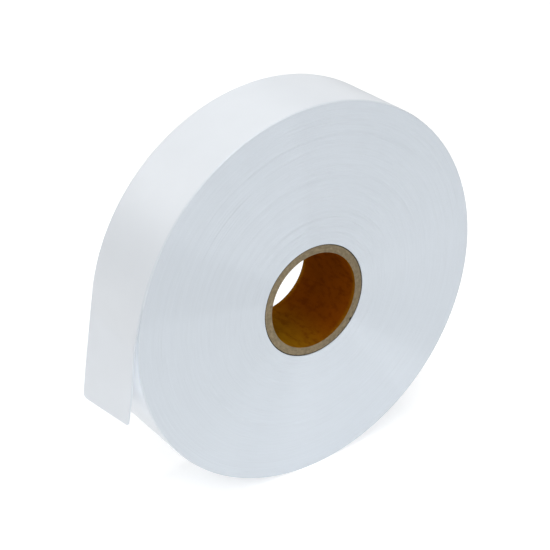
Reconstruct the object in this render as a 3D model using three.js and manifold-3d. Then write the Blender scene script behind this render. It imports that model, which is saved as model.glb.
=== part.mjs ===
// A roll of satin ribbon on a cardboard core. It stands on its rim, and its loose end hangs at the left.
// Millimetres, +Z up. The roll's axis lies along Y and its shown face looks towards -Y.
// The origin is the middle of the small flat spot on which the roll stands.

import * as THREE from 'three';
import { mergeVertices } from 'three/addons/utils/BufferGeometryUtils.js';
import Module from 'manifold-3d';

// The wound ribbon
const ROLL_RADIUS = 75;
const RIBBON_WIDTH = 32;
const FLAT_HALF_WIDTH = 8;
const EDGE_ROUNDING = 0.8;

// The cardboard core, which sits a little low in the roll and stops just short of its shown face
const CORE_OUTER_RADIUS = 22.3;
const CORE_INNER_RADIUS = 19;
const CORE_DROP = 1.5;
const CORE_FRONT_RECESS = 0.2;

// The loose end, which lies on the rim for an arc, leaves it along the tangent and hangs straight
const SHEET_THICKNESS = 1;
const SEAT_START = THREE.MathUtils.degToRad(140);
const LEAVING_ANGLE = THREE.MathUtils.degToRad(170.6);
const HANGING_FRONT = 37.2;
const HANGING_REAR = 41.9;
const CORNER_CUT = 1.5;

const CLEARANCE = 0.3; // between two pieces that touch
const OVERREACH = 5; // how far a cutting block reaches past the piece that it cuts

// Fineness of the round surfaces
const ROLL_STEPS = 240;
const CORE_STEPS = 96;
const EDGE_STEPS = 3;
const SEAT_STEPS = 20;

const WHITE_SATIN = { color: 0xe9eff4, roughness: 0.45, metalness: 0 };
const GREY_BROWN_CARDBOARD = { color: 0x7a7059, roughness: 0.9, metalness: 0 };

// The roll's centre lies above the flat spot by less than its radius.
const ROLL_CENTRE_Z = Math.sqrt(ROLL_RADIUS ** 2 - FLAT_HALF_WIDTH ** 2);
const FRONT_Y = -RIBBON_WIDTH / 2;
const REAR_Y = RIBBON_WIDTH / 2;

const wasm = await Module();
wasm.setup();

// The triangles that still have three corners of their own once shared vertices are merged.
function trueTriangles(index) {
  const kept = [];
  for (let i = 0; i < index.length; i += 3) {
    const [a, b, c] = index.slice(i, i + 3);
    if (a !== b && b !== c && c !== a) {
      kept.push(a, b, c);
    }
  }
  return Uint32Array.from(kept);
}

// A closed geometry as a solid that can be cut.
function toSolid(geometry) {
  const bare = geometry.clone();
  bare.deleteAttribute('normal');
  bare.deleteAttribute('uv');
  const merged = mergeVertices(bare);
  return new wasm.Manifold(new wasm.Mesh({
    numProp: 3,
    vertProperties: merged.attributes.position.array,
    triVerts: trueTriangles(merged.index.array),
  }));
}

// What is left of a closed geometry once the others are cut away from it.
function cut(geometry, ...cutters) {
  const solid = cutters.reduce((left, cutter) => left.subtract(toSolid(cutter)), toSolid(geometry));
  const mesh = solid.getMesh();
  const result = new THREE.BufferGeometry();
  result.setAttribute('position', new THREE.BufferAttribute(mesh.vertProperties, 3));
  result.setIndex(new THREE.BufferAttribute(mesh.triVerts, 1));
  result.computeVertexNormals();
  return result;
}

// The side view is drawn with x to the right and y up, from the roll's centre.
function pointAt(radius, angle) {
  return new THREE.Vector2(radius * Math.cos(angle), radius * Math.sin(angle));
}

// The way in which the loose end leaves the rim, in the side view.
const LEAVING_WAY = pointAt(1, LEAVING_ANGLE + Math.PI / 2);

function arcPoints(radius, fromAngle, toAngle) {
  return Array.from({ length: SEAT_STEPS + 1 }, (_, i) =>
    pointAt(radius, THREE.MathUtils.lerp(fromAngle, toAngle, i / SEAT_STEPS)));
}

// A side view as a block along the roll's axis, as wide as the ribbon and the given margins.
function alongAxis(outline, margin = 0) {
  const depth = RIBBON_WIDTH + 2 * margin;
  return new THREE.ExtrudeGeometry(new THREE.Shape(outline), { depth, bevelEnabled: false })
    .rotateX(Math.PI / 2)
    .translate(0, REAR_Y + margin, 0);
}

// The wound ribbon before it is cut: a disc with softly rounded rims.
function roundedDisc() {
  const profile = [new THREE.Vector2(0, FRONT_Y)];
  for (const [side, startAngle] of [[-1, -Math.PI / 2], [1, 0]]) {
    for (let i = 0; i <= EDGE_STEPS; i += 1) {
      const corner = pointAt(EDGE_ROUNDING, startAngle + (Math.PI / 2) * (i / EDGE_STEPS));
      corner.x += ROLL_RADIUS - EDGE_ROUNDING;
      corner.y += side * (RIBBON_WIDTH / 2 - EDGE_ROUNDING);
      profile.push(corner);
    }
  }
  profile.push(new THREE.Vector2(0, REAR_Y));
  return new THREE.LatheGeometry(profile, ROLL_STEPS);
}

// The round hollow that the core fills.
function hollowForCore() {
  const radius = CORE_OUTER_RADIUS + CLEARANCE;
  const length = RIBBON_WIDTH + 2 * OVERREACH;
  return new THREE.CylinderGeometry(radius, radius, length, CORE_STEPS).translate(0, 0, -CORE_DROP);
}

// All that would lie below the flat spot.
function belowFlatSpot() {
  const width = 2 * (ROLL_RADIUS + OVERREACH);
  const length = RIBBON_WIDTH + 2 * OVERREACH;
  return new THREE.BoxGeometry(width, length, 2 * OVERREACH)
    .translate(0, 0, -ROLL_CENTRE_Z - OVERREACH);
}

// The shallow seat of the loose end. Its floor is an arc, and then runs out of the rim straight.
function seatInRim() {
  const floorRadius = ROLL_RADIUS - SHEET_THICKNESS - CLEARANCE;
  const outside = ROLL_RADIUS + 2 * OVERREACH;
  const start = SEAT_START - CLEARANCE / ROLL_RADIUS;
  const floor = arcPoints(floorRadius, start, LEAVING_ANGLE);
  const runOut = floor.at(-1).clone().addScaledVector(LEAVING_WAY, ROLL_RADIUS / 2);
  const outline = [
    ...floor,
    runOut,
    runOut.clone().setLength(outside),
    pointAt(outside, LEAVING_ANGLE),
    pointAt(outside, start),
  ];
  return alongAxis(outline, OVERREACH);
}

function woundRoll() {
  return cut(roundedDisc(), hollowForCore(), belowFlatSpot(), seatInRim());
}

function coreTube() {
  const front = FRONT_Y + CORE_FRONT_RECESS;
  const profile = [
    new THREE.Vector2(CORE_INNER_RADIUS, front),
    new THREE.Vector2(CORE_OUTER_RADIUS, front),
    new THREE.Vector2(CORE_OUTER_RADIUS, REAR_Y),
    new THREE.Vector2(CORE_INNER_RADIUS, REAR_Y),
    new THREE.Vector2(CORE_INNER_RADIUS, front),
  ];
  return new THREE.LatheGeometry(profile, CORE_STEPS);
}

// The loose end before its end is cut slanted: one even sheet, longer than it needs to be.
function longSheet() {
  const innerRadius = ROLL_RADIUS - SHEET_THICKNESS;
  const length = HANGING_REAR + OVERREACH;
  const outer = arcPoints(ROLL_RADIUS, SEAT_START, LEAVING_ANGLE);
  const inner = arcPoints(innerRadius, SEAT_START, LEAVING_ANGLE);
  const hangingOuter = outer.at(-1).clone().addScaledVector(LEAVING_WAY, length);
  const hangingInner = inner.at(-1).clone().addScaledVector(LEAVING_WAY, length);
  return alongAxis([...outer, hangingOuter, hangingInner, ...inner.reverse()]);
}

// What the scissors take off: drawn in the plane of the hanging end, with the ribbon's width as x
// and the way down it as y. The two corners that they leave are a little blunt.
function offcut() {
  const slant = (HANGING_REAR - HANGING_FRONT) / RIBBON_WIDTH;
  const beyond = HANGING_REAR + 2 * OVERREACH;
  const outline = new THREE.Shape()
    .moveTo(FRONT_Y - OVERREACH, HANGING_FRONT - CORNER_CUT)
    .lineTo(FRONT_Y, HANGING_FRONT - CORNER_CUT)
    .quadraticCurveTo(FRONT_Y, HANGING_FRONT, FRONT_Y + CORNER_CUT, HANGING_FRONT + slant * CORNER_CUT)
    .lineTo(REAR_Y - CORNER_CUT, HANGING_REAR - slant * CORNER_CUT)
    .quadraticCurveTo(REAR_Y, HANGING_REAR, REAR_Y, HANGING_REAR - CORNER_CUT)
    .lineTo(REAR_Y + OVERREACH, HANGING_REAR - CORNER_CUT)
    .lineTo(REAR_Y + OVERREACH, beyond)
    .lineTo(FRONT_Y - OVERREACH, beyond);
  const depth = SHEET_THICKNESS + 2 * OVERREACH;
  const outward = pointAt(1, LEAVING_ANGLE);
  const nearSide = outward.clone().multiplyScalar(ROLL_RADIUS - SHEET_THICKNESS - OVERREACH);
  const place = new THREE.Matrix4()
    .makeBasis(
      new THREE.Vector3(0, 1, 0),
      new THREE.Vector3(LEAVING_WAY.x, 0, LEAVING_WAY.y),
      new THREE.Vector3(outward.x, 0, outward.y),
    )
    .setPosition(nearSide.x, 0, nearSide.y);
  return new THREE.ExtrudeGeometry(outline, { depth, bevelEnabled: false, curveSegments: 4 })
    .applyMatrix4(place);
}

function looseEnd() {
  return cut(longSheet(), offcut());
}

function piece(name, geometry, finish) {
  const mesh = new THREE.Mesh(geometry, new THREE.MeshStandardMaterial(finish));
  mesh.name = name;
  return mesh;
}

const core = piece('core_tube', coreTube(), GREY_BROWN_CARDBOARD);
core.position.z = -CORE_DROP;

const roll = new THREE.Group();
roll.add(
  piece('wound_roll', woundRoll(), WHITE_SATIN),
  core,
  piece('loose_end', looseEnd(), WHITE_SATIN),
);
roll.position.z = ROLL_CENTRE_Z;

const part = new THREE.Group();
part.add(roll);

export default part;
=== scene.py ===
# %% [markdown]
# # A roll of white satin ribbon
#
# Some 130 m of satin ribbon is wound tightly on a cardboard core. The roll stands on its rim, and the
# free end of its last turn hangs down at the left. Three things show: the smooth side of the cloth all
# round the rim, the two flat faces where hundreds of turns lie edge by edge, and the core.
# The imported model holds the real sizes. It is loaded first, as a fixed frame, and each size below is
# read from it or is a named value, in metres unless the text says otherwise.

# %% Load the frame
import math

import bmesh
import bpy
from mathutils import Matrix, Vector, noise


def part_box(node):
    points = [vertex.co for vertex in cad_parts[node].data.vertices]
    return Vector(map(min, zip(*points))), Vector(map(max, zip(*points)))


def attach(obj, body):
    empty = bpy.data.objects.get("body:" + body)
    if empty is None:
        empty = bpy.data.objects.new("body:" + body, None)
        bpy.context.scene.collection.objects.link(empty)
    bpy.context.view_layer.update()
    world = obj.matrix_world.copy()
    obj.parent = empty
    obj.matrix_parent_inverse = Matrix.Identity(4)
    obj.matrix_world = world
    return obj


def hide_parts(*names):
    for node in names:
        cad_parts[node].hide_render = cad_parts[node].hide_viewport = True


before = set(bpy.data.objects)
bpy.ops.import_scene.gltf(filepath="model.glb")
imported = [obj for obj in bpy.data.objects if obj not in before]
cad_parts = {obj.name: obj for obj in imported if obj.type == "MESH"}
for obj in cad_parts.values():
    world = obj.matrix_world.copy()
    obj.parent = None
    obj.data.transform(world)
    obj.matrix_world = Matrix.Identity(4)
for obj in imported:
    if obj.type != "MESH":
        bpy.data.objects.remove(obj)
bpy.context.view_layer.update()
print("nodes in the frame:", sorted(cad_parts))

# %% Sizes that the frame gives
MM = 0.001
roll_low, roll_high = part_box("wound_roll")
core_low, core_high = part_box("core_tube")
ROLL_RADIUS = roll_high.x
HALF_WIDTH = (roll_high.y - roll_low.y) / 2
ROLL_CENTRE = Vector((0, 0, roll_high.z - ROLL_RADIUS))
CORE_RADIUS = (core_high.x - core_low.x) / 2
CORE_CENTRE = Vector((0, 0, (core_low.z + core_high.z) / 2))
CORE_DROP = ROLL_CENTRE.z - CORE_CENTRE.z
print(f"roll {2 * ROLL_RADIUS / MM:.1f} mm across and {2 * HALF_WIDTH / MM:.1f} mm wide")
print(f"core {2 * CORE_RADIUS / MM:.1f} mm across, {CORE_DROP / MM:.1f} mm low in the roll")

# %% [markdown]
# ## A few helpers
#
# The roll and its core are round, and their axes lie along Y. A side view has its own two directions:
# straight out from the axis at an angle, and along the rim in the way in which the ribbon is wound.
# A finished mesh becomes an object at the origin, unturned and unscaled, so its place is in its mesh.

# %% Directions in the side view
def outward(angle):
    return Vector((math.cos(angle), 0, math.sin(angle)))


def along_rim(angle):
    return Vector((-math.sin(angle), 0, math.cos(angle)))


# %% Keep square edges crisp
SQUARE_EDGE = math.radians(45)


def crease_square_edges(bm):
    """Marks an edge as sharp where its two faces turn by more than half a right angle."""
    for edge in bm.edges:
        edge.smooth = edge.calc_face_angle() < SQUARE_EDGE


# %% From a bmesh to an object
def finish_piece(name, bm, materials):
    mesh = bpy.data.meshes.new(name)
    bm.to_mesh(mesh)
    bm.free()
    mesh.shade_smooth()
    piece = bpy.data.objects.new(name, mesh)
    bpy.context.scene.collection.objects.link(piece)
    for material in materials:
        mesh.materials.append(material)
    print(f"{name}: {len(mesh.polygons)} faces")
    return piece


# %% Spin a section round the axis
MERGE_DISTANCE = 0.001 * MM


def spin_section(bm, steps):
    bmesh.ops.spin(
        bm,
        geom=bm.verts[:] + bm.edges[:],
        cent=(0, 0, 0),
        axis=(0, 1, 0),
        dvec=(0, 0, 0),
        angle=math.tau,
        steps=steps,
        use_merge=True,
    )
    bmesh.ops.remove_doubles(bm, verts=bm.verts[:], dist=MERGE_DISTANCE)
    bmesh.ops.recalc_face_normals(bm, faces=bm.faces[:])


def closed_section(bm, inner, outer, front, rear):
    """Draws a rectangle to be spun, and returns its edges: front, outer, rear and inner."""
    corners = [(inner, front), (outer, front), (outer, rear), (inner, rear)]
    verts = [bm.verts.new((radius, y, 0)) for radius, y in corners]
    return [bm.edges.new((verts[i], verts[(i + 1) % 4])) for i in range(4)]


# %% [markdown]
# ## Node helpers
#
# A material is a tree of nodes, and most of its lines say the same thing: add a node, set it, and join
# its inputs. One helper does that. An input is either a number or the output of an earlier node.

# %% Add a node, set it and link it
def add_node(tree, kind, inputs=None, **settings):
    node = tree.nodes.new("ShaderNode" + kind)
    for name, value in settings.items():
        setattr(node, name, value)
    for name, value in (inputs or {}).items():
        if isinstance(value, bpy.types.NodeSocket):
            tree.links.new(value, node.inputs[name])
        else:
            node.inputs[name].default_value = value
    return node


# %% Sums, and ranges of values
def maths(tree, operation, a, b=0.0):
    return add_node(tree, "Math", {0: a, 1: b}, operation=operation).outputs[0]


def vector_maths(tree, operation, a, b=None, output="Vector"):
    inputs = {0: a} if b is None else {0: a, 1: b}
    return add_node(tree, "VectorMath", inputs, operation=operation).outputs[output]


def remap(tree, value, low, high, to_low=0.0, to_high=1.0, smooth=True):
    node = add_node(
        tree,
        "MapRange",
        {"Value": value, "From Min": low, "From Max": high, "To Min": to_low, "To Max": to_high},
        interpolation_type="SMOOTHSTEP" if smooth else "LINEAR",
    )
    return node.outputs["Result"]


# %% Blend two colours
def blend_colours(tree, share, first, second):
    """The first colour where share is 0, and the second where it is 1."""
    node = tree.nodes.new("ShaderNodeMix")
    node.data_type = "RGBA"
    # A Mix node has sockets for each kind of value. Its colours go in at 6 and 7, and come out at 2.
    for place, value in ((0, share), (6, first), (7, second)):
        if isinstance(value, bpy.types.NodeSocket):
            tree.links.new(value, node.inputs[place])
        else:
            node.inputs[place].default_value = value
    return node.outputs[2]


# %% A new material with one shader
def new_material(name):
    material = bpy.data.materials.new(name)
    material.use_nodes = True
    return material, material.node_tree, material.node_tree.nodes["Principled BSDF"]


# %% Bump, and a mix of two shaders
def add_bump(tree, shader, height, distance, strength=1.0):
    bump = add_node(tree, "Bump", {"Height": height, "Distance": distance, "Strength": strength})
    tree.links.new(bump.outputs["Normal"], shader.inputs["Normal"])


def show_both(tree, share, first, second, output="Material Output"):
    """Shows the first shader where share is 0, and the second where it is 1."""
    both = add_node(tree, "MixShader", {0: share, 1: first.outputs[0], 2: second.outputs[0]})
    tree.links.new(both.outputs[0], tree.nodes[output].inputs["Surface"])


# %% A new node group with named sockets
def new_group(name, inputs, outputs):
    group = bpy.data.node_groups.new(name, "ShaderNodeTree")
    for socket, kind in inputs.items():
        group.interface.new_socket(socket, in_out="INPUT", socket_type="NodeSocket" + kind)
    for socket, kind in outputs.items():
        group.interface.new_socket(socket, in_out="OUTPUT", socket_type="NodeSocket" + kind)
    source = group.nodes.new("NodeGroupInput")
    result = group.nodes.new("NodeGroupOutput")
    return group, source.outputs, result.inputs


def use_group(tree, group, inputs):
    return add_node(tree, "Group", inputs, node_tree=group)


# %% [markdown]
# ## Two effects that several finishes share
#
# Satin, turn edges and cardboard are all made of fibres that run one way, so all show fine streaks
# along them. And none is quite even: each has slow, cloudy changes of tone. Each effect is a group,
# built once and placed in each material that shows it, with that material's own values.
# A material stretches the streaks by squeezing the vector that it gives the group. Blender's noise
# seldom leaves the middle half of its range, so that half is spread out to make the streaks clear.

# %% Fibre streaks
NOISE_LOW = 0.25
NOISE_HIGH = 0.75


def make_fibre_streaks():
    group, given, result = new_group(
        "fibre streaks",
        {"Vector": "Vector", "Fineness": "Float", "Roughness": "Float"},
        {"Streak": "Float"},
    )
    grain = add_node(
        group,
        "TexNoise",
        {
            "Vector": given["Vector"],
            "Scale": given["Fineness"],
            "Roughness": given["Roughness"],
            "Detail": 3.0,
        },
    )
    streak = remap(group, grain.outputs["Fac"], NOISE_LOW, NOISE_HIGH, smooth=False)
    group.links.new(streak, result["Streak"])
    return group


# %% Cloudy tone
def make_cloudy_tone():
    group, given, result = new_group(
        "cloudy tone",
        {"Colour": "Color", "Vector": "Vector", "Fineness": "Float", "Depth": "Float"},
        {"Colour": "Color"},
    )
    cloud = add_node(
        group,
        "TexNoise",
        {"Vector": given["Vector"], "Scale": given["Fineness"], "Detail": 2.0, "Roughness": 0.5},
    )
    swing = maths(group, "MULTIPLY", maths(group, "SUBTRACT", cloud.outputs["Fac"], 0.5), given["Depth"])
    toned = vector_maths(group, "MULTIPLY", given["Colour"], maths(group, "ADD", swing, 1.0))
    group.links.new(toned, result["Colour"])
    return group


fibre_streaks = make_fibre_streaks()
cloudy_tone = make_cloudy_tone()
print("node groups:", fibre_streaks.name, "and", cloudy_tone.name)

# %% [markdown]
# ## Satin
#
# In satin the long warp threads float over the weft, all along the ribbon, so it is smooth and it
# shines most across them. That could be a plain glossy surface, but cloth has no clear mirror image.
# Here the gloss is stretched across the threads with the shader's Anisotropic value, and the threads
# themselves are streaks in the cloth's own UV map, which is in metres of flat ribbon: X is across it,
# and Y is along it, from the place where it leaves the rim. Along both edges runs the selvedge, less
# than a millimetre of tighter weave that is a shade bluer.
# One layer of the cloth lets some light through. On the roll it lies on many more and looks solid, but
# where it hangs free the light comes through it from behind, so there a Translucent shader is mixed in.
# A mix takes light away from the first shader, so its colour is raised by as much.
# Light is also thrown to and fro between the loose end and the rim, more often than a render follows,
# so the cloth of the rim that faces the loose end is given a very faint painted glow in its own colour,
# as painted light. Its two edges are open to the light beside them, and glow hardly at all.

# %% What the satin looks like
SATIN = (0.719, 0.751, 0.787, 1)
SELVEDGE = (0.664, 0.708, 0.752, 1)
SELVEDGE_WIDTH = 0.8 * MM
STREAKS_PER_METRE = 1500
THREAD_STRETCH = 0.012
THREAD_TONE = (0.99, 1.0)
THREAD_ROUGHNESS = (0.36, 0.46)
LIGHT_THROUGH = 0.14
CLEAR_OF_ROLL = 12 * MM


# %% Where the rim faces the loose end
def one_turn_back(angle):
    """Where the rim beneath the loose end is along the flat ribbon, an angle past the leaving place."""
    return -ROLL_RADIUS * (math.tau - angle)


PAINTED_CAUGHT_LIGHT = 0.30
CAUGHT_FROM = one_turn_back(math.radians(-3))
CAUGHT_FULL_TO = one_turn_back(math.radians(16))
CAUGHT_TO = one_turn_back(math.radians(27))
CAUGHT_EDGE_FROM = HALF_WIDTH + 0.1 * MM
CAUGHT_EDGE_FULL = HALF_WIDTH - 1.2 * MM


def caught_share(tree, across, along):
    """How much of the light between the loose end and the rim a point catches, from 0 to 1."""
    begun = remap(tree, along, CAUGHT_FROM - MM, CAUGHT_FROM)
    lasting = remap(tree, along, CAUGHT_TO, CAUGHT_FULL_TO)
    deep = remap(tree, across, CAUGHT_EDGE_FROM, CAUGHT_EDGE_FULL, smooth=False)
    return maths(tree, "MULTIPLY", maths(tree, "MULTIPLY", begun, lasting), deep)


# %% The satin material
def make_satin():
    material, tree, shader = new_material("white satin")
    cloth = add_node(tree, "UVMap", uv_map="flat cloth").outputs["UV"]
    parts = add_node(tree, "SeparateXYZ", {"Vector": cloth})
    across = maths(tree, "ABSOLUTE", parts.outputs["X"])
    along = parts.outputs["Y"]
    stretched = vector_maths(tree, "MULTIPLY", cloth, (1.0, THREAD_STRETCH, 1.0))
    threads = use_group(
        tree, fibre_streaks, {"Vector": stretched, "Fineness": STREAKS_PER_METRE, "Roughness": 0.6}
    ).outputs["Streak"]
    toned = use_group(
        tree, cloudy_tone, {"Colour": SATIN, "Vector": cloth, "Fineness": 90.0, "Depth": 0.03}
    ).outputs["Colour"]
    selvedge = remap(tree, across, HALF_WIDTH - SELVEDGE_WIDTH, HALF_WIDTH - SELVEDGE_WIDTH / 3)
    edged = blend_colours(tree, selvedge, toned, SELVEDGE)
    colour = vector_maths(tree, "MULTIPLY", edged, remap(tree, threads, 0, 1, *THREAD_TONE, smooth=False))
    share = remap(tree, along, 0, CLEAR_OF_ROLL, 0, LIGHT_THROUGH)
    raised = maths(tree, "DIVIDE", 1.0, maths(tree, "SUBTRACT", 1.0, share))
    tree.links.new(vector_maths(tree, "MULTIPLY", colour, raised), shader.inputs["Base Color"])
    # Painted light: the rim beneath the loose end glows faintly in the satin's own colour.
    glow = vector_maths(tree, "MULTIPLY", colour, caught_share(tree, across, along))
    tree.links.new(glow, shader.inputs["Emission Color"])
    shader.inputs["Emission Strength"].default_value = PAINTED_CAUGHT_LIGHT
    roughness = remap(tree, threads, 0, 1, *THREAD_ROUGHNESS, smooth=False)
    tree.links.new(roughness, shader.inputs["Roughness"])
    add_bump(tree, shader, threads, 0.01 * MM, 0.5)
    weft = add_node(tree, "CombineXYZ", {"X": 0.0, "Y": 1.0, "Z": 0.0})
    tree.links.new(weft.outputs["Vector"], shader.inputs["Tangent"])
    shader.inputs["Anisotropic"].default_value = 0.5
    shader.inputs["IOR"].default_value = 1.7
    through = add_node(tree, "BsdfTranslucent", {"Color": colour})
    show_both(tree, share, shader, through)
    return material


satin = make_satin()
print("satin streaks:", STREAKS_PER_METRE, "to the metre, and finer ones within them")

# %% [markdown]
# ## The edges of the turns
#
# Each flat face is the edge of one long ribbon, seen more than 400 times from the core to the rim. The
# woven edges are softer and a little bluer than the cloth's smooth side, and they make fine rings. Some
# turns stray: they were wound up to a tenth of a millimetre or so proud or deep over a part of their
# way, and light from above picks them out as pairs of a light and a dark line.
# The rings could be drawn in an image. Here each point of the mesh keeps the radius at which its turn
# was wound, so the pattern follows the turns even where they aren't quite round the roll's centre, and
# a short table says where the stray turns are. One node group shapes the height of a stray turn, and
# is placed once for each row. On this roll the turns lie least evenly near the core, and in the upper
# part of the face, so the height of all the rings grows there.
# The rings are grooves, and grooves catch the light in fans that reach out from the middle, as on a
# record. So this gloss is stretched straight out from the axis. More fans of sheen, light and dark, are
# painted into the tone by angle, and a second short table holds them.

# %% A stray turn as a node group
def make_stray_turn():
    group, given, result = new_group(
        "stray turn",
        {
            "Turn": "Float",
            "Way": "Vector",
            "Radius": "Float",
            "Half Width": "Float",
            "Middle": "Vector",
            "Reach": "Float",
            "Full": "Float",
            "Rise": "Float",
        },
        {"Height": "Float"},
    )
    off = maths(group, "ABSOLUTE", maths(group, "SUBTRACT", given["Turn"], given["Radius"]))
    hump = remap(group, maths(group, "DIVIDE", off, given["Half Width"]), 1.0, 0.0)
    facing = vector_maths(group, "DOT_PRODUCT", given["Way"], given["Middle"], "Value")
    along = remap(group, facing, given["Reach"], given["Full"])
    height = maths(group, "MULTIPLY", maths(group, "MULTIPLY", hump, along), given["Rise"])
    group.links.new(height, result["Height"])
    return group


stray_turn = make_stray_turn()
print("node group:", stray_turn.name)

# %% Where the stray turns are, in millimetres and degrees
STRAY_COLUMNS = ("radius", "half width", "rise", "middle", "half angle")
STRAY_TURNS = [
    dict(zip(STRAY_COLUMNS, row))
    for row in (
        (70.0, 0.8, 0.023, 70, 60),
        (68.6, 0.8, 0.028, 95, 45),
        (67.2, 0.8, 0.028, 80, 55),
        (65.7, 0.8, 0.033, 85, 40),
        (63.5, 0.9, 0.056, 130, 125),
        (56.6, 0.9, -0.056, 135, 18),
        (53.0, 0.9, 0.046, 215, 40),
        (51.0, 1.0, 0.056, 220, 35),
        (48.3, 1.9, 0.136, 75, 85),
        (48.5, 1.6, 0.068, 280, 35),
        (44.0, 1.6, 0.068, 60, 60),
        (37.3, 1.3, 0.047, 100, 80),
        (33.9, 1.9, 0.051, 100, 85),
        (30.2, 1.9, 0.068, 90, 75),
        (29.0, 0.9, -0.046, 222, 45),
        (26.0, 1.2, 0.046, 85, 70),
    )
]
print("stray turns:", len(STRAY_TURNS))

# %% Painted fans of sheen, light and dark, in degrees
FAN_COLUMNS = ("middle", "half angle", "change")
PAINTED_SHEEN_FANS = [
    dict(zip(FAN_COLUMNS, row))
    for row in (
        (110, 16, 0.028),
        (158, 15, -0.030),
        (188, 44, -0.038),
        (284, 42, 0.032),
        (314, 8, 0.018),
        (340, 22, -0.014),
    )
]
print("fans of light and dark:", len(PAINTED_SHEEN_FANS))

# %% Heights of the rings, in millimetres
FINE_RINGS = 0.030
COARSE_RINGS = 0.12
UNEVEN_SIDE = outward(math.radians(72))
UNEVEN_FROM = math.cos(math.radians(84))
UNEVEN_FULL = math.cos(math.radians(26))
UNEVEN_RISE = 2.0
NEAR_CORE = 24
CLEAR_OF_CORE = 46
NEAR_CORE_RISE = 1.6


def ring_height(tree, turn, way, fine, coarse):
    height = maths(
        tree,
        "ADD",
        maths(tree, "MULTIPLY", fine, FINE_RINGS),
        maths(tree, "MULTIPLY", coarse, COARSE_RINGS),
    )
    for row in STRAY_TURNS:
        reach = math.radians(row["half angle"])
        stray = use_group(
            tree,
            stray_turn,
            {
                "Turn": turn,
                "Way": way,
                "Radius": row["radius"],
                "Half Width": row["half width"],
                "Middle": outward(math.radians(row["middle"])),
                "Reach": math.cos(reach),
                "Full": math.cos(reach / 2),
                "Rise": row["rise"],
            },
        )
        height = maths(tree, "ADD", height, stray.outputs["Height"])
    facing = vector_maths(tree, "DOT_PRODUCT", way, UNEVEN_SIDE, "Value")
    uneven = remap(tree, facing, UNEVEN_FROM, UNEVEN_FULL, 1.0, UNEVEN_RISE)
    near_core = remap(tree, turn, NEAR_CORE, CLEAR_OF_CORE, NEAR_CORE_RISE, 1.0)
    return maths(tree, "MULTIPLY", maths(tree, "MULTIPLY", height, uneven), near_core)


# %% Tone of the rings, with the painted fans of sheen
TURN_EDGES = (0.626, 0.675, 0.728, 1)
RING_TONE = (0.968, 1.025)


def ring_tone_and_painted_sheen(tree, way, fine):
    tone = remap(tree, fine, 0, 1, *RING_TONE, smooth=False)
    for row in PAINTED_SHEEN_FANS:
        half_angle = math.radians(row["half angle"])
        facing = vector_maths(tree, "DOT_PRODUCT", way, outward(math.radians(row["middle"])), "Value")
        # Painted sheen: each fan makes the tone lighter or darker over a span of angles.
        fan = remap(tree, facing, math.cos(half_angle), math.cos(half_angle / 2), 0, row["change"])
        tone = maths(tree, "ADD", tone, fan)
    return tone


# %% The turn edge material
def make_turn_edges():
    material, tree, shader = new_material("turn edges")
    place = add_node(tree, "TexCoord").outputs["Object"]
    arm = vector_maths(tree, "SUBTRACT", place, ROLL_CENTRE)
    way = vector_maths(tree, "NORMALIZE", vector_maths(tree, "MULTIPLY", arm, (1, 0, 1)))
    parts = add_node(tree, "SeparateXYZ", {"Vector": way})
    metres = add_node(tree, "Attribute", attribute_name="turn_radius").outputs["Fac"]
    turn = maths(tree, "DIVIDE", metres, MM)
    round_way = add_node(
        tree, "CombineXYZ", {"X": turn, "Y": parts.outputs["X"], "Z": parts.outputs["Z"]}
    ).outputs["Vector"]
    fine = use_group(
        tree, fibre_streaks, {"Vector": round_way, "Fineness": 2.6, "Roughness": 0.75}
    ).outputs["Streak"]
    coarse = use_group(
        tree, fibre_streaks, {"Vector": round_way, "Fineness": 0.45, "Roughness": 0.6}
    ).outputs["Streak"]
    toned = use_group(
        tree, cloudy_tone, {"Colour": TURN_EDGES, "Vector": way, "Fineness": 3.0, "Depth": 0.03}
    ).outputs["Colour"]
    colour = vector_maths(tree, "MULTIPLY", toned, ring_tone_and_painted_sheen(tree, way, fine))
    tree.links.new(colour, shader.inputs["Base Color"])
    add_bump(tree, shader, ring_height(tree, turn, way, fine, coarse), MM)
    tree.links.new(way, shader.inputs["Tangent"])
    shader.inputs["Anisotropic"].default_value = 1.0
    shader.inputs["Roughness"].default_value = 0.4
    return material


turn_edges = make_turn_edges()
print("finish of the flat faces:", turn_edges.name)

# %% [markdown]
# ## Cardboard
#
# The core is paper wound in plies and glued. Its sawn end shows them as faint rings of grey-brown, a
# little paler at the left. A near-black line of painted shade runs round its outer edge, where the gap
# to the first turn lies, and one small nick is painted as a dark spot of shade. Its inside is one smooth
# sheet of brown paper, stained deep red-brown, with dark fibres along it, and with painted light, a paler
# amber where light falls on it near its ends and at its foot.
# Both finishes measure from the core's own axis, so one group turns a place into a radius, a direction
# and a distance along the axis, with both lengths in millimetres.

# %% Measures round the core's axis
CORE_WALL = 3.3 * MM
BORE_RADIUS = CORE_RADIUS - CORE_WALL


def make_core_measures():
    group, given, result = new_group(
        "core measures",
        {"Place": "Vector"},
        {"Radius": "Float", "Way": "Vector", "Along": "Float"},
    )
    arm = vector_maths(group, "SUBTRACT", given["Place"], CORE_CENTRE)
    flat_arm = vector_maths(group, "MULTIPLY", arm, (1, 0, 1))
    radius = vector_maths(group, "LENGTH", flat_arm, output="Value")
    along = add_node(group, "SeparateXYZ", {"Vector": arm}).outputs["Y"]
    group.links.new(maths(group, "DIVIDE", radius, MM), result["Radius"])
    group.links.new(vector_maths(group, "NORMALIZE", flat_arm), result["Way"])
    group.links.new(maths(group, "DIVIDE", along, MM), result["Along"])
    return group


core_measures = make_core_measures()
print(f"bore of the core {2 * BORE_RADIUS / MM:.1f} mm across")

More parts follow.
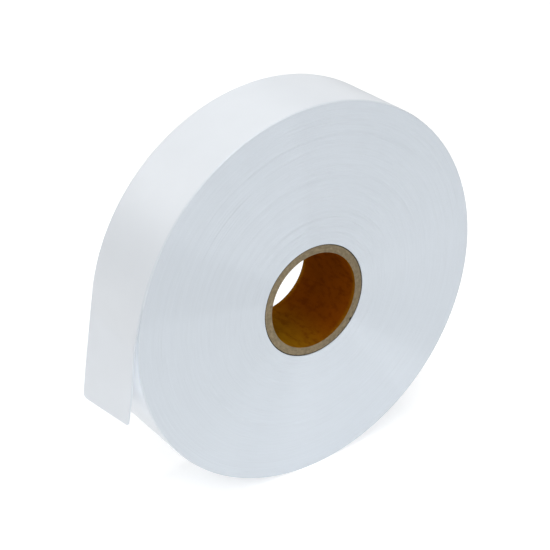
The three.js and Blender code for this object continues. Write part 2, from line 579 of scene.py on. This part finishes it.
# %% What the sawn end of the core looks like
BOARD = (0.258, 0.208, 0.130, 1)
BOARD_DARK = (0.163, 0.125, 0.075, 1)
# Painted shade: a near-black line round the outer edge stands for the shade in the gap to the first turn.
PAINTED_GAP_SHADE = (0.018, 0.015, 0.012, 1)
GAP_SHADE_FROM = (CORE_RADIUS - 0.45 * MM) / MM
GAP_SHADE_FULL = (CORE_RADIUS - 0.225 * MM) / MM
PLY_WAVES = 5.0
PALER_SIDE = outward(math.radians(190))
PALER_SIDE_TONE = (0.92, 1.08)
NICK_WAY = outward(math.radians(-38))
NICK = CORE_CENTRE + NICK_WAY * (CORE_RADIUS - 0.2 * MM) + Vector((0, core_low.y, 0))
NICK_RADIUS = 0.95 * MM
# Painted shade: the shade in a small nick, as a dark spot.
NICK_PAINTED_SHADE = (0.006, 0.005, 0.004, 1)


# %% The sawn end of the core
def make_board():
    material, tree, shader = new_material("core board")
    place = add_node(tree, "TexCoord").outputs["Object"]
    measures = use_group(tree, core_measures, {"Place": place}).outputs
    parts = add_node(tree, "SeparateXYZ", {"Vector": measures["Way"]})
    round_way = add_node(
        tree,
        "CombineXYZ",
        {
            "X": measures["Radius"],
            "Y": maths(tree, "MULTIPLY", parts.outputs["X"], PLY_WAVES),
            "Z": maths(tree, "MULTIPLY", parts.outputs["Z"], PLY_WAVES),
        },
    ).outputs["Vector"]
    plies = use_group(
        tree, fibre_streaks, {"Vector": round_way, "Fineness": 1.6, "Roughness": 0.7}
    ).outputs["Streak"]
    colour = blend_colours(tree, plies, BOARD_DARK, BOARD)
    mottled = use_group(
        tree, cloudy_tone, {"Colour": colour, "Vector": place, "Fineness": 700.0, "Depth": 0.9}
    ).outputs["Colour"]
    facing = vector_maths(tree, "DOT_PRODUCT", measures["Way"], PALER_SIDE, "Value")
    side_tone = remap(tree, facing, -1, 1, *PALER_SIDE_TONE, smooth=False)
    toned = vector_maths(tree, "MULTIPLY", mottled, side_tone)
    # Painted shade of the gap round the core, and of the nick below.
    gap_shade = remap(tree, measures["Radius"], GAP_SHADE_FROM, GAP_SHADE_FULL)
    gap_shaded = blend_colours(tree, gap_shade, toned, PAINTED_GAP_SHADE)
    off = vector_maths(tree, "DISTANCE", place, NICK, "Value")
    nicked = blend_colours(tree, remap(tree, off, NICK_RADIUS, NICK_RADIUS / 2), gap_shaded, NICK_PAINTED_SHADE)
    tree.links.new(nicked, shader.inputs["Base Color"])
    add_bump(tree, shader, plies, 0.08 * MM, 0.7)
    shader.inputs["Roughness"].default_value = 0.9
    shader.inputs["Specular IOR Level"].default_value = 0.2
    return material


board = make_board()

# %% What the paper inside the core looks like
LINER = (0.160, 0.037, 0.001, 1)
LINER_FIBRE = (0.122, 0.026, 0.001, 1)
# Painted light: a paler amber where light falls in at the bore's ends and on its foot.
LINER_PAINTED_LIGHT = (0.280, 0.136, 0.004, 1)
FIBRE_STRETCH = (1.0, 0.5, 1.0)
FIBRES_DARK_TO_CLEAR = (0.15, 0.6)
FOOT = outward(math.radians(-135))
CORE_END = (core_high.y - core_low.y) / 2
LIT_END_FROM = (CORE_END - 2.5 * MM) / MM
LIT_END_TO = CORE_END / MM
END_PAINTED_LIGHT = 0.5
FIBRES_DARK_TO_LIT = (0.1, 0.7)
LEAST_LIT = 0.5


# %% The paper inside the core
def make_liner():
    material, tree, shader = new_material("core liner")
    place = add_node(tree, "TexCoord").outputs["Object"]
    measures = use_group(tree, core_measures, {"Place": place}).outputs
    stretched = vector_maths(tree, "MULTIPLY", place, FIBRE_STRETCH)
    fibres = use_group(
        tree, fibre_streaks, {"Vector": stretched, "Fineness": 420.0, "Roughness": 0.7}
    ).outputs["Streak"]
    stained = blend_colours(tree, remap(tree, fibres, *FIBRES_DARK_TO_CLEAR), LINER_FIBRE, LINER)
    # Painted light on the foot of the bore and near its two ends, broken up by the fibres.
    facing = vector_maths(tree, "DOT_PRODUCT", measures["Way"], FOOT, "Value")
    at_foot = maths(tree, "POWER", maths(tree, "MAXIMUM", facing, 0.0), 2.0)
    from_middle = maths(tree, "ABSOLUTE", measures["Along"])
    at_end = maths(tree, "MULTIPLY", remap(tree, from_middle, LIT_END_FROM, LIT_END_TO), END_PAINTED_LIGHT)
    painted_light = maths(tree, "MAXIMUM", at_foot, at_end)
    patches = remap(tree, fibres, *FIBRES_DARK_TO_LIT, LEAST_LIT, 1.0)
    colour = blend_colours(tree, maths(tree, "MULTIPLY", painted_light, patches), stained, LINER_PAINTED_LIGHT)
    toned = use_group(
        tree, cloudy_tone, {"Colour": colour, "Vector": place, "Fineness": 150.0, "Depth": 0.35}
    ).outputs["Colour"]
    tree.links.new(toned, shader.inputs["Base Color"])
    add_bump(tree, shader, fibres, 0.03 * MM, 0.5)
    shader.inputs["Roughness"].default_value = 0.7
    shader.inputs["Specular IOR Level"].default_value = 0.0
    return material


liner = make_liner()
print("core finishes:", board.name, "and", liner.name)

# %% [markdown]
# ## The last turn and its loose end
#
# All that shows on the rim is the last turn of one ribbon, which leaves the rim at the left and hangs
# down. Its end is cut off a little slanted, and its two corners have gone blunt. It could be a band
# cut out of the solid roll. Here it is made as the real one is: a flat strip is trimmed with straight
# cuts and given its thickness, and then each point is moved to where winding puts it. Its UV map is
# taken while it is flat.
# A turn climbs by a little more than the cloth's thickness, so the last turn passes over its own start,
# which is out of sight beneath it. Its two long edges curl in a little, to the turn below. Where it
# leaves the rim, its front edge stands off a little, and its cut end is slightly twisted.

# %% Sizes of the last turn
CLOTH_THICKNESS = 0.15 * MM
TURN_CLIMB = 0.17 * MM
LEAVING_ANGLE = math.radians(170.6)
HIDDEN_ANGLE = math.radians(20)
WOUND_LENGTH = ROLL_RADIUS * (math.tau + HIDDEN_ANGLE)
HANGING_FRONT = 37.2 * MM
HANGING_REAR = 41.9 * MM
FRONT_CORNER_RADIUS = 1.3 * MM
REAR_CORNER_RADIUS = 2.6 * MM
EDGE_CURL = 0.30 * MM
CURLED_WIDTH = 0.9 * MM
FRONT_BULGE = 1.0 * MM
BULGE_MIDDLE = 9 * MM
BULGE_REACH = 20 * MM
END_TWIST = 0.4 * MM
print(f"the last turn and its loose end: {(WOUND_LENGTH + HANGING_REAR) / MM:.0f} mm of ribbon")


# %% Cuts through the flat strip
CUTS_ROUND_CORNER = 4


def trim(bm, point, way):
    """Cuts off all that lies past a point of the flat strip, in the direction way."""
    geometry = bm.verts[:] + bm.edges[:] + bm.faces[:]
    bmesh.ops.bisect_plane(bm, geom=geometry, plane_co=point, plane_no=way, clear_outer=True)


def blunt_corner(bm, corner, radius, first_way, second_way):
    """Rounds a corner between two edges that face first_way and second_way."""
    opening = (math.pi - first_way.angle(second_way)) / 2
    inward = -(first_way + second_way).normalized()
    centre = corner + inward * (radius / math.sin(opening))
    for i in range(1, CUTS_ROUND_CORNER + 1):
        way = first_way.slerp(second_way, i / (CUTS_ROUND_CORNER + 1))
        trim(bm, centre + way * radius, way)


# %% The flat strip, with its slanted end and blunt corners
ROWS_ALONG = 440
ROWS_ACROSS = 28


def flat_strip():
    """The strip's rows lie closer together towards its two long edges, where it will curl."""
    bm = bmesh.new()
    bmesh.ops.create_grid(bm, x_segments=ROWS_ACROSS, y_segments=ROWS_ALONG, size=1)
    for vert in bm.verts:
        vert.co.x = HALF_WIDTH * math.sin(vert.co.x * math.pi / 2)
        vert.co.y = -WOUND_LENGTH + (vert.co.y + 1) / 2 * (WOUND_LENGTH + HANGING_REAR)
    front_corner = Vector((-HALF_WIDTH, HANGING_FRONT, 0))
    rear_corner = Vector((HALF_WIDTH, HANGING_REAR, 0))
    cut_line = rear_corner - front_corner
    cut_way = Vector((-cut_line.y, cut_line.x, 0)).normalized()
    trim(bm, front_corner, cut_way)
    blunt_corner(bm, front_corner, FRONT_CORNER_RADIUS, Vector((-1, 0, 0)), cut_way)
    blunt_corner(bm, rear_corner, REAR_CORNER_RADIUS, cut_way, Vector((1, 0, 0)))
    return bm


def thicken(bm):
    sheet = bm.verts[:] + bm.edges[:] + bm.faces[:]
    copied = bmesh.ops.extrude_face_region(bm, geom=sheet, use_keep_orig=True)["geom"]
    underside = [part for part in copied if isinstance(part, bmesh.types.BMVert)]
    bmesh.ops.translate(bm, verts=underside, vec=(0, 0, -CLOTH_THICKNESS))


# %% Keep the flat measures in a UV map
def keep_flat_measures(bm):
    layer = bm.loops.layers.uv.new("flat cloth")
    for face in bm.faces:
        for loop in face.loops:
            loop[layer].uv = loop.vert.co.xy


# %% A smooth hump for the bulge of the loose end
def within(distance, reach):
    """1 in the middle, 0 past reach, and smooth between them."""
    share = max(0, 1 - (distance / reach) ** 2)
    return share * share


# %% Wind the strip
def climbed_radius(angle):
    """The radius of the last turn. It grows all the way to the angle at which the ribbon leaves."""
    return ROLL_RADIUS + TURN_CLIMB * (angle - LEAVING_ANGLE) / math.tau


def stand_off(across, along):
    """How far the loose end stands off the way in which it would hang straight."""
    frontness = (1 - across / HALF_WIDTH) / 2
    bulge = FRONT_BULGE * frontness**2 * within(along - BULGE_MIDDLE, BULGE_REACH)
    twist = -END_TWIST * across / HALF_WIDTH * (max(along, 0) / HANGING_REAR) ** 4
    return bulge + twist


def wound_place(across, along, depth):
    """Where winding puts a point of the flat strip. Its lowest stretch is pressed flat on the floor."""
    angle = LEAVING_ANGLE + min(along, 0) / ROLL_RADIUS
    curled = max(0, abs(across) - HALF_WIDTH + CURLED_WIDTH) / CURLED_WIDTH
    radius = climbed_radius(angle) - depth - EDGE_CURL * curled**2 + stand_off(across, along)
    place = ROLL_CENTRE + outward(angle) * radius + along_rim(angle) * max(along, 0)
    place.y = across
    place.z = max(place.z, depth)
    return place


# %% Make the last turn and hang its loose end
def make_last_turn():
    bm = flat_strip()
    thicken(bm)
    keep_flat_measures(bm)
    for vert in bm.verts:
        vert.co = wound_place(vert.co.x, vert.co.y, -vert.co.z)
    bmesh.ops.recalc_face_normals(bm, faces=bm.faces[:])
    crease_square_edges(bm)
    return finish_piece("last_turn", bm, [satin])


last_turn = make_last_turn()
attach(last_turn, "root")
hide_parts("loose_end")

# %% [markdown]
# ## The wound turns
#
# Beneath the last turn lie more than 400 others, wound so tightly that they are one body. Each turn could
# be a band of its own, but at 0.12 mm they would be finer than any view shows. So one section is spun
# round the axis, with many points from the core to the rim, and then its faces are made uneven as real
# ones are: turn by turn a few hundredths of a millimetre proud or deep, and a little full or hollow over
# wider stretches. At the rim they are flat, where the last turn's edges lie against them.
# The core sits a little low in this roll, so each turn is also lowered, the inner ones the most.

# %% Sizes of the wound turns
LAYER_GAP = 0.02 * MM
BODY_RADIUS = ROLL_RADIUS - CLOTH_THICKNESS - LAYER_GAP
CORE_GAP = 0.05 * MM
HOLLOW_RADIUS = CORE_RADIUS + CORE_GAP
FLAT_BOTTOM = CLOTH_THICKNESS + LAYER_GAP
TURNS_SHOWN = 80
STEPS_ROUND = 300
TURN_PITCH = 0.12 * MM
print("turns from the core to the rim:", round((BODY_RADIUS - HOLLOW_RADIUS) / TURN_PITCH))


# %% How far a turn's edge stands out of the face
UNEVEN_TURNS = 0.03 * MM
TURN_WAVES = 0.9
UNEVEN_FACE = 0.10 * MM
FACE_WAVES = 0.03
FACE_WAVES_ROUND = 1.2
SIDES_APART = 7
EVEN_AT_RIM = 2 * MM


def relief(radius, angle, side):
    """How far the face stands out at a radius and an angle. Side is -1 in front and 1 at the back."""
    turn = radius / MM
    ring = Vector((TURN_WAVES * turn, math.cos(angle), side + math.sin(angle)))
    slow = FACE_WAVES_ROUND * Vector((0, math.cos(angle), math.sin(angle)))
    slow.x = FACE_WAVES * turn + SIDES_APART * side
    height = UNEVEN_TURNS * noise.noise(ring) + UNEVEN_FACE * noise.noise(slow)
    return height * min(1, (BODY_RADIUS - radius) / EVEN_AT_RIM)


# %% How far out the body reaches beneath the curled edges of the last turn
def radius_under_last_turn(angle):
    back = (LEAVING_ANGLE - angle) % math.tau
    # Where the last turn lies over its own start, the body stays beneath the lower of the two layers.
    if back < HIDDEN_ANGLE:
        back += math.tau
    return climbed_radius(LEAVING_ANGLE - back) - CLOTH_THICKNESS - LAYER_GAP - EDGE_CURL


# %% Where a point of the spun body belongs
def settled_place(radius, angle, side):
    """Fits a point to the last turn and to the low core, and gives the face its relief."""
    share = (radius - HOLLOW_RADIUS) / (BODY_RADIUS - HOLLOW_RADIUS)
    reach = HOLLOW_RADIUS + share * (radius_under_last_turn(angle) - HOLLOW_RADIUS)
    place = ROLL_CENTRE + outward(angle) * reach
    place.z = max(place.z - CORE_DROP * (1 - share), FLAT_BOTTOM)
    place.y = side * (HALF_WIDTH + relief(radius, angle, side))
    return place


# %% Spin the body and make its faces uneven
def make_wound_turns():
    bm = bmesh.new()
    section = closed_section(bm, HOLLOW_RADIUS, BODY_RADIUS, -HALF_WIDTH, HALF_WIDTH)
    front_edge, rear_edge = section[0], section[2]
    bmesh.ops.subdivide_edges(bm, edges=[front_edge, rear_edge], cuts=TURNS_SHOWN)
    spin_section(bm, STEPS_ROUND)
    for face in bm.faces:
        on_flat_face = abs(face.normal.y) > math.cos(SQUARE_EDGE)
        face.material_index = 0 if on_flat_face else 1
    crease_square_edges(bm)
    turn_radius = bm.verts.layers.float.new("turn_radius")
    for vert in bm.verts:
        radius = math.hypot(vert.co.x, vert.co.z)
        angle = math.atan2(vert.co.z, vert.co.x)
        vert[turn_radius] = radius
        vert.co = settled_place(radius, angle, math.copysign(1, vert.co.y))
    return finish_piece("wound_turns", bm, [turn_edges, satin])


wound_turns = make_wound_turns()
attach(wound_turns, "root")
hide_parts("wound_roll")

# %% [markdown]
# ## The core
#
# The core is a cardboard tube, sawn off square. A tube could be a cylinder with thickness, but its ends
# need worn edges, so a small section is spun and the four rings at its corners are bevelled. The faces
# of the bore are then found by their radius, and get the paper's finish.

# %% Spin the core
CORE_STEPS = 160
WORN_EDGE = 0.12 * MM
SAME_RADIUS = 0.01 * MM


def is_end_ring(edge):
    """Whether an edge runs round the axis, and so isn't one of those along the tube or across its end."""
    one, other = (vert.co for vert in edge.verts)
    return one.y * other.y > 0 and abs(one.xz.length - other.xz.length) < SAME_RADIUS


def make_core():
    bm = bmesh.new()
    closed_section(bm, BORE_RADIUS, CORE_RADIUS, core_low.y, core_high.y)
    spin_section(bm, CORE_STEPS)
    bmesh.ops.bevel(
        bm,
        geom=[edge for edge in bm.edges if is_end_ring(edge)],
        offset=WORN_EDGE,
        offset_type="OFFSET",
        segments=3,
        profile=0.5,
        affect="EDGES",
        material=-1,
    )
    for face in bm.faces:
        on_bore = all(vert.co.xz.length < BORE_RADIUS + SAME_RADIUS for vert in face.verts)
        face.material_index = 1 if on_bore else 0
    bmesh.ops.translate(bm, verts=bm.verts[:], vec=CORE_CENTRE)
    return finish_piece("paper_core", bm, [board, liner])


paper_core = make_core()
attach(paper_core, "root")
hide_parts("core_tube")

# %% [markdown]
# ## The floor
#
# The roll stands on a plain white floor. Photographers take such pictures on a light table, a white
# sheet that glows a little from below, so that the ground stays white and the shadow faint. The floor
# does the same. Further out it throws back less light, so that the roll keeps its shade, and both it and
# the surround look pale grey from low viewpoints. Their look to the camera and the light that they give
# are set apart with the Light Path node, which tells the camera's own rays from all others.

# %% Make the floor
FLOOR_RADIUS = 8.0
FLOOR_WHITE = (0.85, 0.85, 0.85, 1)
FLOOR_FAR = (0.35, 0.35, 0.35, 1)
FLOOR_GLOW = 0.38
PALE_BACKGROUND = (0.70, 0.71, 0.72, 1)
FLOOR_SIDES = 96
WHITE_CENTRE = Vector((0.12, 0.20, 0))
WHITE_RADIUS = 0.42
FADED_RADIUS = 0.85


def make_floor():
    material, tree, shader = new_material("white floor")
    place = add_node(tree, "TexCoord").outputs["Object"]
    away = vector_maths(tree, "DISTANCE", place, WHITE_CENTRE, "Value")
    faded = remap(tree, away, WHITE_RADIUS, FADED_RADIUS)
    colour = blend_colours(tree, faded, FLOOR_WHITE, FLOOR_FAR)
    toned = use_group(
        tree, cloudy_tone, {"Colour": colour, "Vector": place, "Fineness": 3.0, "Depth": 0.01}
    ).outputs["Colour"]
    tree.links.new(toned, shader.inputs["Base Color"])
    tree.links.new(toned, shader.inputs["Emission Color"])
    shader.inputs["Emission Strength"].default_value = FLOOR_GLOW
    shader.inputs["Roughness"].default_value = 0.8
    shader.inputs["Specular IOR Level"].default_value = 0.0
    seen = add_node(tree, "LightPath").outputs["Is Camera Ray"]
    backdrop = add_node(tree, "Emission", {"Color": PALE_BACKGROUND})
    show_both(tree, maths(tree, "MULTIPLY", seen, faded), shader, backdrop)
    bm = bmesh.new()
    bmesh.ops.create_circle(bm, cap_ends=True, segments=FLOOR_SIDES, radius=FLOOR_RADIUS)
    return finish_piece("floor", bm, [material])


floor = make_floor()

# %% [markdown]
# ## Light
#
# White cloth on white ground shows its form only by small changes of shade, so no lamp may be hard or
# strong. Eight large softboxes stand round the roll. The one overhead whitens the top of the rim, and
# those beside and above the camera light the front face evenly. A tall one behind the roll shines along
# the rim and through the core, and smaller ones fill in the left and right. Each is an area light that
# faces the roll's centre and is invisible to the camera. A faint light from all round lifts the rest,
# and the Standard view shows white as white.
# A lamp shines along its own -Z, and a camera looks along it, so the Z of each points away from the roll.

# %% Place the softboxes
LIGHT_COLUMNS = ("azimuth", "elevation", "distance", "width", "height", "watts")
SOFTBOXES = {
    "overhead": (0, 88, 1.2, 1.0, 1.0, 6.8),
    "above, at the left": (-75, 62, 1.2, 0.8, 0.7, 1.4),
    "beside the camera": (-36, 30, 1.3, 0.5, 0.5, 3.5),
    "high behind the camera": (-36, 50, 1.3, 0.6, 0.4, 3.1),
    "in front, at the right": (35, 15, 1.3, 0.6, 0.5, 2.6),
    "tall backdrop": (180, 32, 1.4, 1.6, 1.2, 4.1),
    "low behind, at the right": (140, 10, 1.4, 1.2, 0.3, 1.9),
    "behind, at the left": (-143, 29, 1.2, 0.5, 0.45, 1.3),
}


def direction(azimuth, elevation):
    """The way from the roll to a light or the camera. Azimuth 0 is in front and 90 at the right."""
    turned = math.radians(azimuth)
    raised = math.radians(elevation)
    on_floor = Vector((math.sin(turned), -math.cos(turned), 0))
    return on_floor * math.cos(raised) + Vector((0, 0, math.sin(raised)))


def add_softbox(name, azimuth, elevation, distance, width, height, watts):
    light = bpy.data.lights.new(name, "AREA")
    light.shape = "RECTANGLE"
    light.size = width
    light.size_y = height
    light.energy = watts
    lamp = bpy.data.objects.new(name, light)
    away = direction(azimuth, elevation)
    lamp.location = ROLL_CENTRE + away * distance
    lamp.rotation_euler = away.to_track_quat("Z", "Y").to_euler()
    lamp.visible_camera = False
    bpy.context.scene.collection.objects.link(lamp)


for name, row in SOFTBOXES.items():
    add_softbox(name, **dict(zip(LIGHT_COLUMNS, row)))
print("softboxes:", len(SOFTBOXES))

# %% Light from all round
SURROUND = (0.98, 0.99, 1.0, 1)
SURROUND_STRENGTH = 0.20


def make_surround():
    world = bpy.data.worlds.new("pale surround")
    world.use_nodes = True
    tree = world.node_tree
    lighting = tree.nodes["Background"]
    lighting.inputs["Color"].default_value = SURROUND
    lighting.inputs["Strength"].default_value = SURROUND_STRENGTH
    seen = add_node(tree, "LightPath").outputs["Is Camera Ray"]
    backdrop = add_node(tree, "Background", {"Color": PALE_BACKGROUND})
    show_both(tree, seen, lighting, backdrop, "World Output")
    return world


bpy.context.scene.world = make_surround()
bpy.context.scene.view_settings.view_transform = "Standard"
print("light from all round:", SURROUND_STRENGTH)

# %% [markdown]
# ## Camera
#
# The camera looks down at the roll from the front left, with a long lens from half a metre away. It is
# placed by a point to aim at, two angles and a distance, which are easier to set than its coordinates.

# %% Place the camera
AIM = Vector((-9.11 * MM, -3.87 * MM, 81.36 * MM))
VIEW_AZIMUTH = -35.812
VIEW_ELEVATION = 28.518
VIEW_DISTANCE = 0.5367
LENS = 96.26
SENSOR_WIDTH = 36

camera_data = bpy.data.cameras.new("camera")
camera_data.lens = LENS
camera_data.sensor_width = SENSOR_WIDTH
camera = bpy.data.objects.new("camera", camera_data)
away = direction(VIEW_AZIMUTH, VIEW_ELEVATION)
camera.location = AIM + away * VIEW_DISTANCE
camera.rotation_euler = away.to_track_quat("Z", "Y").to_euler()
bpy.context.scene.collection.objects.link(camera)
bpy.context.scene.camera = camera
print(f"camera {camera.location.z / MM:.0f} mm above the floor, with a lens of {LENS:.0f} mm")
